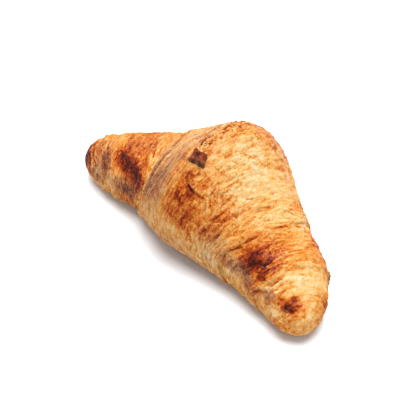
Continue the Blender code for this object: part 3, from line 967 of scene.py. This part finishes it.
def bowed_flake(w):
    """One flake of unit length: narrow at its ends, wavy, bowed along its length and curled across it."""
    inputs = {"Size": (1.0, 1.0, 1.0), "Vertices X": 5, "Vertices Y": 3, "Vertices Z": 2}
    block = w.node("GeometryNodeMeshCube", inputs)
    position = w.node("GeometryNodeInputPosition").outputs[0]
    place = w.node("ShaderNodeSeparateXYZ", {0: position})
    along, side, up = place.outputs
    bow = w.math("MULTIPLY", along, along)
    narrow = w.math("SUBTRACT", 1.0, w.math("MULTIPLY", bow, 1.8))
    wave = w.math("MULTIPLY", w.math("SINE", w.math("MULTIPLY", along, 11.0)), 0.16)
    across = w.math("MULTIPLY", w.math("ADD", side, wave), narrow)
    height = w.math("SUBTRACT", up, w.math("MULTIPLY", bow, 3.0))
    curl = w.math("MULTIPLY", w.math("MULTIPLY", side, side), 2.0)
    shape = w.node("ShaderNodeCombineXYZ", {0: along, 1: across, 2: w.math("ADD", height, curl)})
    inputs = {"Geometry": block.outputs["Mesh"], "Position": shape.outputs[0]}
    return w.node("GeometryNodeSetPosition", inputs).outputs["Geometry"]


def torn_edges(w, flakes, raggedness):
    """The flakes with every point moved a little, so that no two are alike."""
    position = w.node("GeometryNodeInputPosition").outputs[0]
    rough = w.clouds(position, 900.0, 2.0)
    shift = w.vector("SUBTRACT", rough.outputs["Color"], (0.5, 0.5, 0.5))
    shift = w.node("ShaderNodeVectorMath", {0: shift, 3: raggedness}, operation="SCALE").outputs[0]
    return w.node("GeometryNodeSetPosition", {"Geometry": flakes, "Offset": shift}).outputs["Geometry"]


def flakes_tree():
    """Geometry nodes that scatter thin, torn flakes over a crust, along the roll and with one side lifted."""
    tree = bpy.data.node_groups.new("torn_flakes", "GeometryNodeTree")
    tree.interface.new_socket("Crust", in_out="INPUT", socket_type="NodeSocketGeometry")
    for name, value in FLAKE_SIZES.items():
        socket = tree.interface.new_socket(name, in_out="INPUT", socket_type="NodeSocketFloat")
        socket.default_value = value
    tree.interface.new_socket("Seed", in_out="INPUT", socket_type="NodeSocketInt")
    tree.interface.new_socket("Material", in_out="INPUT", socket_type="NodeSocketMaterial")
    tree.interface.new_socket("Flakes", in_out="OUTPUT", socket_type="NodeSocketGeometry")
    w = Wiring(tree)
    into, out = w.node("NodeGroupInput"), w.node("NodeGroupOutput")
    size = {name: into.outputs[name] for name in FLAKE_SIZES}

    density = w.math("MULTIPLY", size["Flakes per m2"], w.named("flaky"))
    spread = w.node(
        "GeometryNodeDistributePointsOnFaces",
        {"Mesh": into.outputs["Crust"], "Density": density, "Seed": into.outputs["Seed"]},
    )
    paler = w.math("ADD", w.math("MAXIMUM", w.named("bake"), FLAKE_PALEST), w.drawn(-0.05, 0.20, 1))
    tinted = w.node(
        "GeometryNodeStoreNamedAttribute",
        {"Geometry": spread.outputs["Points"], "Name": "bake", "Value": paler},
        data_type="FLOAT",
    )
    along = w.node(
        "FunctionNodeAlignRotationToVector",
        {"Rotation": spread.outputs["Rotation"], "Vector": w.named("around", "FLOAT_VECTOR")},
        axis="X",
        pivot_axis="Z",
    )
    tilt = w.math("MULTIPLY", size["Tilt"], w.drawn(0.3, 1.0, 2))
    lifted = w.math("MULTIPLY", tilt, w.math("SIGN", w.drawn(-1.0, 1.0, 3)))
    turned = w.node(
        "ShaderNodeCombineXYZ",
        {0: lifted, 1: w.drawn(-0.12, 0.12, 4), 2: w.drawn(-0.5, 0.5, 5)},
    )
    lie = w.node("FunctionNodeEulerToRotation", {0: turned.outputs[0]}).outputs[0]
    laid = w.node("FunctionNodeRotateRotation", {0: along.outputs[0], 1: lie}, rotation_space="LOCAL")
    scale = w.node(
        "ShaderNodeCombineXYZ",
        {
            0: w.math("MULTIPLY", size["Length"], w.drawn(0.45, 1.3, 6)),
            1: w.math("MULTIPLY", size["Width"], w.drawn(0.5, 1.4, 7)),
            2: size["Thickness"],
        },
    )
    placed = w.node(
        "GeometryNodeInstanceOnPoints",
        {
            "Points": tinted.outputs["Geometry"],
            "Instance": bowed_flake(w),
            "Rotation": laid.outputs[0],
            "Scale": scale.outputs[0],
        },
    )
    real = w.node("GeometryNodeRealizeInstances", {"Geometry": placed.outputs["Instances"]})
    torn = torn_edges(w, real.outputs["Geometry"], size["Raggedness"])
    dressed = w.node(
        "GeometryNodeSetMaterial",
        {"Geometry": torn, "Material": into.outputs["Material"]},
    )
    tree.links.new(dressed.outputs["Geometry"], out.inputs["Flakes"])
    return tree


def make_flakes(crust, material):
    """Loose torn flakes over the whole crust, thickest along the wraps' edges."""
    bed = bpy.data.objects.new("flakes_bed", crust.data.copy())
    bpy.context.scene.collection.objects.link(bed)
    scatterer = bed.modifiers.new("torn_flakes", "NODES")
    scatterer.node_group = flakes_tree()
    values = {**FLAKE_SIZES, "Seed": FLAKE_SEED, "Material": material}
    for socket in scatterer.node_group.interface.items_tree:
        if socket.in_out == "INPUT" and socket.name in values:
            scatterer[socket.identifier] = values[socket.name]
    return finished(bed, "torn_flakes")


def linear(level):
    """The shader's linear value for a screen level from 0 to 255."""
    share = level / 255
    return share / 12.92 if share < 0.0405 else ((share + 0.055) / 1.055) ** 2.4


# Colours that the crust shows as it browns, from pale dough to scorched: golden, and greyed by ash, a grey
# that also serves as painted shade
BAKE_COLOURS = (
    (0.00, (255, 232, 184)),
    (0.12, (255, 215, 150)),
    (0.26, (253, 192, 110)),
    (0.40, (241, 155, 62)),
    (0.52, (222, 115, 31)),
    (0.64, (184, 69, 17)),
    (0.76, (140, 43, 13)),
    (0.88, (94, 26, 9)),
    (1.00, (62, 18, 7)),
)
ASHEN_COLOURS = (
    (0.00, (238, 214, 186)),
    (0.15, (227, 190, 152)),
    (0.30, (208, 160, 120)),
    (0.45, (180, 127, 91)),
    (0.60, (147, 94, 66)),
    (0.75, (110, 64, 46)),
    (0.90, (72, 42, 31)),
    (1.00, (47, 27, 21)),
)
LIP_COLOUR = (250, 212, 150)
# Dark brown painted into the creases as shade
CREASE_SHADE_COLOUR = (86, 36, 18)
LIGHT_SHARE = 0.62  # the crust's own colour is darker than it shows under the studio light


class Wiring:
    """Adds nodes to a tree in a row and links them."""

    def __init__(self, tree):
        self.tree = tree
        self.count = 0

    def node(self, kind, inputs=None, **settings):
        made = self.tree.nodes.new(kind)
        made.location = (self.count * 190 - 1400, -(self.count % 5) * 170)
        self.count += 1
        for name, value in settings.items():
            setattr(made, name, value)
        for name, value in (inputs or {}).items():
            if isinstance(value, bpy.types.NodeSocket):
                self.tree.links.new(value, made.inputs[name])
            else:
                made.inputs[name].default_value = value
        return made

    def math(self, operation, a, b=0.0, clamp=False):
        made = self.node("ShaderNodeMath", {0: a, 1: b}, operation=operation, use_clamp=clamp)
        return made.outputs[0]

    def vector(self, operation, a, b):
        return self.node("ShaderNodeVectorMath", {0: a, 1: b}, operation=operation).outputs[0]

    def clouds(self, place, scale, detail, roughness=0.5):
        """A noise texture."""
        inputs = {"Vector": place, "Scale": scale, "Detail": detail, "Roughness": roughness}
        return self.node("ShaderNodeTexNoise", inputs)

    def named(self, name, kind="FLOAT"):
        """A named attribute, in geometry nodes."""
        made = self.node("GeometryNodeInputNamedAttribute", {"Name": name}, data_type=kind)
        return made.outputs["Attribute"]

    def drawn(self, low, high, seed):
        """A random number for each flake, in geometry nodes."""
        inputs = {2: low, 3: high, "Seed": seed}
        return self.node("FunctionNodeRandomValue", inputs, data_type="FLOAT").outputs[1]

    def mix(self, factor, a, b):
        made = self.node("ShaderNodeMix", {"Factor": factor}, data_type="RGBA")
        for socket, value in ((made.inputs[6], a), (made.inputs[7], b)):
            if isinstance(value, bpy.types.NodeSocket):
                self.tree.links.new(value, socket)
            else:
                socket.default_value = value
        return made.outputs[2]


def crust_colour(shown):
    """The crust's own colour for a colour that it shows on a screen."""
    return tuple(LIGHT_SHARE * linear(level) for level in shown) + (1.0,)


def colour_ramp(wiring, value, colours):
    """A ramp through the shown colours."""
    ramp = wiring.node("ShaderNodeValToRGB", {"Fac": value})
    stops = ramp.color_ramp.elements
    for stop, (position, shown) in zip(stops, (colours[0], colours[-1])):
        stop.position, stop.color = position, crust_colour(shown)
    for position, shown in colours[1:-1]:
        stops.new(position).color = crust_colour(shown)
    return ramp.outputs["Color"]


def shader_group(name, inputs, outputs):
    """An empty node group with these sockets, and its wiring."""
    group = bpy.data.node_groups.new(name, "ShaderNodeTree")
    for socket, kind, value in inputs:
        made = group.interface.new_socket(socket, in_out="INPUT", socket_type=kind)
        if value is not None:
            made.default_value = value
    for socket, kind in outputs:
        group.interface.new_socket(socket, in_out="OUTPUT", socket_type=kind)
    wiring = Wiring(group)
    return group, wiring, wiring.node("NodeGroupInput"), wiring.node("NodeGroupOutput")


def flaky_grain_group():
    """Fine grain of baked layers: fibres round the roll, specks and cracks, and the height they make."""
    group, w, into, out = shader_group(
        "flaky_grain",
        (
            ("Round", "NodeSocketVector", None),
            ("Place", "NodeSocketVector", None),
            ("Fibres", "NodeSocketFloat", 1.0),
            ("Specks", "NodeSocketFloat", 1.0),
            ("Cracks", "NodeSocketFloat", 1.0),
        ),
        (
            ("Shade", "NodeSocketFloat"),
            ("Height", "NodeSocketFloat"),
            ("Cracked", "NodeSocketFloat"),
        ),
    )
    place = into.outputs["Place"]
    stretched = w.node("ShaderNodeMapping", {"Vector": into.outputs["Round"], "Scale": FIBRE_SCALE})
    bent = w.clouds(place, BEND_SCALE, 2.0).outputs["Color"]
    moved = w.vector("ADD", stretched.outputs[0], w.vector("MULTIPLY", bent, (1.6, 1.6, 0.0)))
    fibre = w.clouds(moved, 1.0, 4.0, 0.62).outputs["Fac"]
    speck = w.clouds(place, SPECK_SCALE, 3.0, 0.7).outputs["Fac"]
    shaken = w.vector("ADD", place, w.vector("MULTIPLY", bent, (0.004, 0.004, 0.004)))
    inputs = {"Vector": shaken, "Scale": CRACK_SCALE}
    crack = w.node("ShaderNodeTexVoronoi", inputs, feature="DISTANCE_TO_EDGE")
    gap = w.math("MULTIPLY", crack.outputs["Distance"], 5.0, clamp=True)
    cracked = w.math("MULTIPLY", w.math("SUBTRACT", 1.0, gap), into.outputs["Cracks"])
    fibres = w.math("MULTIPLY", w.math("SUBTRACT", fibre, 0.5), into.outputs["Fibres"])
    specks = w.math("MULTIPLY", w.math("SUBTRACT", speck, 0.5), into.outputs["Specks"])
    both = w.math("ADD", fibres, specks)
    height = w.math("SUBTRACT", both, w.math("MULTIPLY", cracked, 0.35))
    w.tree.links.new(both, out.inputs["Shade"])
    w.tree.links.new(height, out.inputs["Height"])
    w.tree.links.new(cracked, out.inputs["Cracked"])
    return group


def bake_colour_group():
    """The colour of baked dough for how far it has browned, greyed by ash and by painted shade, and darkened
    in creases as painted shade.
    """
    group, w, into, out = shader_group(
        "bake_colour",
        (
            ("Bake", "NodeSocketFloat", 0.4),
            ("Ash", "NodeSocketFloat", 0.0),
            ("Crease", "NodeSocketFloat", 0.0),
            ("Lip", "NodeSocketFloat", 0.0),
        ),
        (("Color", "NodeSocketColor"),),
    )
    golden = colour_ramp(w, into.outputs["Bake"], BAKE_COLOURS)
    ashen = colour_ramp(w, into.outputs["Bake"], ASHEN_COLOURS)
    baked = w.mix(into.outputs["Ash"], golden, ashen)
    edged = w.mix(w.math("MULTIPLY", into.outputs["Lip"], 0.4), baked, crust_colour(LIP_COLOUR))
    # Painted shade: the creases are darkened towards dark brown.
    crease_shaded = w.mix(w.math("MULTIPLY", into.outputs["Crease"], 0.75), edged, crust_colour(CREASE_SHADE_COLOUR))
    w.tree.links.new(crease_shaded, out.inputs["Color"])
    return group


# The grain's sizes, as scales per metre
FIBRE_SCALE = (150.0, 1250.0, 1.0)
BEND_SCALE = 160.0
SPECK_SCALE = 1250.0
CRACK_SCALE = 420.0


def new_material(name):
    """A material with nodes, its wiring and its shader."""
    material = bpy.data.materials.new(name)
    material.use_nodes = True
    return material, Wiring(material.node_tree), material.node_tree.nodes["Principled BSDF"]


def crust_material(grain, colours):
    """Baked crust: the masks choose its colour, and the fine grain shades and roughens it."""
    material, w, shader = new_material("baked_crust")
    roll = w.node("ShaderNodeUVMap", uv_map="roll").outputs["UV"]
    place = w.node("ShaderNodeTexCoord").outputs["Object"]
    mask = {
        name: w.node("ShaderNodeAttribute", attribute_name=name).outputs["Fac"]
        for name in ("bake", "ash", "glaze", "crease", "lip")
    }
    fine = w.node(
        "ShaderNodeGroup",
        {"Round": roll, "Place": place, "Fibres": 1.0, "Specks": 0.9, "Cracks": mask["glaze"]},
        node_tree=grain,
    )
    # The grain's Shade pales the colour where the bump stands higher: partly random tone, partly painted
    # highlight.
    bake = w.math("ADD", mask["bake"], w.math("MULTIPLY", fine.outputs["Shade"], -0.55))
    bake = w.math("ADD", bake, w.math("MULTIPLY", fine.outputs["Cracked"], 0.12), clamp=True)
    colour = w.node(
        "ShaderNodeGroup",
        {"Bake": bake, "Ash": mask["ash"], "Crease": mask["crease"], "Lip": mask["lip"]},
        node_tree=colours,
    )
    w.tree.links.new(colour.outputs["Color"], shader.inputs["Base Color"])
    dull = w.math("SUBTRACT", 0.62, w.math("MULTIPLY", mask["glaze"], 0.26))
    rough = w.math("SUBTRACT", dull, w.math("MULTIPLY", fine.outputs["Shade"], 0.25), clamp=True)
    w.tree.links.new(rough, shader.inputs["Roughness"])
    bump = w.node("ShaderNodeBump", {"Height": fine.outputs["Height"], "Strength": 0.8, "Distance": 0.0011})
    w.tree.links.new(bump.outputs["Normal"], shader.inputs["Normal"])
    w.tree.links.new(w.math("MULTIPLY", mask["glaze"], 0.3), shader.inputs["Coat Weight"])
    shader.inputs["Coat Roughness"].default_value = 0.2
    shader.inputs["Specular IOR Level"].default_value = 0.08
    shader.inputs["Subsurface Weight"].default_value = 0.25
    shader.inputs["Subsurface Radius"].default_value = (1.0, 0.45, 0.2)
    shader.inputs["Subsurface Scale"].default_value = 0.003
    return material


def tab_material(grain, colours):
    """The scorched tab: red-brown mottle on top, and its end face greyed as painted shade."""
    material, w, shader = new_material("scorched_tab")
    place = w.node("ShaderNodeTexCoord").outputs["Object"]
    fine = w.node(
        "ShaderNodeGroup",
        {"Round": place, "Place": place, "Fibres": 0.0, "Specks": 1.0, "Cracks": 0.4},
        node_tree=grain,
    )
    blotch = w.clouds(place, 420.0, 3.0).outputs["Fac"]
    # The end face is greyed: painted shade on the side turned from the light.
    end_shade = w.node("ShaderNodeAttribute", attribute_name="end_shade").outputs["Fac"]
    bake = w.math("SUBTRACT", 0.75, w.math("MULTIPLY", end_shade, 0.03))
    bake = w.math("ADD", bake, w.math("MULTIPLY", w.math("SUBTRACT", blotch, 0.5), -0.9))
    # The grain's Shade pales the colour where the bump stands higher: partly random tone, partly painted
    # highlight.
    bake = w.math("ADD", bake, w.math("MULTIPLY", fine.outputs["Shade"], -0.5))
    ash = w.math("ADD", 0.45, w.math("MULTIPLY", end_shade, 0.5), clamp=True)
    colour = w.node("ShaderNodeGroup", {"Bake": bake, "Ash": ash}, node_tree=colours)
    w.tree.links.new(colour.outputs["Color"], shader.inputs["Base Color"])
    shader.inputs["Roughness"].default_value = 0.6
    shader.inputs["Specular IOR Level"].default_value = 0.08
    bump = w.node("ShaderNodeBump", {"Height": fine.outputs["Height"], "Strength": 0.8, "Distance": 0.0006})
    w.tree.links.new(bump.outputs["Normal"], shader.inputs["Normal"])
    return material


def flake_material(grain, colours):
    """Torn flakes take the bake of the crust under them."""
    material, w, shader = new_material("torn_flakes")
    place = w.node("ShaderNodeTexCoord").outputs["Object"]
    bake = w.node("ShaderNodeAttribute", attribute_name="bake").outputs["Fac"]
    ash = w.node("ShaderNodeAttribute", attribute_name="ash").outputs["Fac"]
    fine = w.node(
        "ShaderNodeGroup",
        {"Round": place, "Place": place, "Fibres": 0.0, "Specks": 1.0, "Cracks": 0.0},
        node_tree=grain,
    )
    shaded = w.math("ADD", bake, w.math("MULTIPLY", fine.outputs["Shade"], -0.5), clamp=True)
    colour = w.node("ShaderNodeGroup", {"Bake": shaded, "Ash": ash}, node_tree=colours)
    w.tree.links.new(colour.outputs["Color"], shader.inputs["Base Color"])
    shader.inputs["Roughness"].default_value = 0.5
    shader.inputs["Specular IOR Level"].default_value = 0.1
    return material


# Floor, light and camera

FLOOR_SIZE = 3.0
FLOOR_COLOUR = (0.85, 0.9, 0.95, 1.0)
SKY_STRENGTH = 0.6
# Each light's direction, strength, softness in degrees and colour
LIGHTS = {
    "overhead": ((-0.01, 0.03, 1.0), 4.3, 48, (1.0, 0.99, 0.97)),
    "key": ((-0.34, 0.42, 0.84), 1.25, 14, (1.0, 0.96, 0.90)),
}
CAMERA_TURN = math.radians(48.77)
CAMERA_TILT = math.radians(42.0)
CAMERA_DISTANCE = 0.5976
CAMERA_AIM = Vector((0.0011, -0.0086, 0.02))
CAMERA_VIEW = math.radians(20.0)


def make_floor():
    bpy.ops.mesh.primitive_plane_add(size=FLOOR_SIZE)
    floor = bpy.context.object
    floor.name = floor.data.name = "floor"
    material, _, shader = new_material("pale_floor")
    shader.inputs["Base Color"].default_value = FLOOR_COLOUR
    shader.inputs["Roughness"].default_value = 0.8
    floor.data.materials.append(material)


def make_lights():
    world = bpy.data.worlds.new("studio")
    bpy.context.scene.world = world
    world.use_nodes = True
    sky = world.node_tree.nodes["Background"]
    sky.inputs["Color"].default_value = (1.0, 1.0, 1.0, 1.0)
    sky.inputs["Strength"].default_value = SKY_STRENGTH
    for name, (source, strength, softness, colour) in LIGHTS.items():
        lamp = bpy.data.lights.new(name, "SUN")
        lamp.energy = strength
        lamp.angle = math.radians(softness)
        lamp.color = colour
        light = bpy.data.objects.new(name, lamp)
        light.rotation_euler = Vector(source).to_track_quat("Z", "Y").to_euler()
        bpy.context.scene.collection.objects.link(light)


def make_camera():
    lens = bpy.data.cameras.new("camera")
    lens.lens_unit = "FOV"
    lens.angle = CAMERA_VIEW
    camera = bpy.data.objects.new("camera", lens)
    back = Vector((
        math.sin(CAMERA_TURN) * math.cos(CAMERA_TILT),
        -math.cos(CAMERA_TURN) * math.cos(CAMERA_TILT),
        math.sin(CAMERA_TILT),
    ))
    camera.location = CAMERA_AIM + back * CAMERA_DISTANCE
    camera.rotation_euler = back.to_track_quat("Z", "Y").to_euler()
    bpy.context.scene.collection.objects.link(camera)
    bpy.context.scene.camera = camera


def main():
    bpy.context.scene.view_settings.view_transform = "Standard"
    make_floor()
    make_lights()
    make_camera()
    grain = flaky_grain_group()
    colours = bake_colour_group()
    crust = make_crust(crust_material(grain, colours))
    tab = make_tab(tab_material(grain, colours))
    flakes = make_flakes(crust, flake_material(grain, colours))
    for piece in (crust, tab, flakes):
        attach(piece, "root")
    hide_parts("croissant")


main()
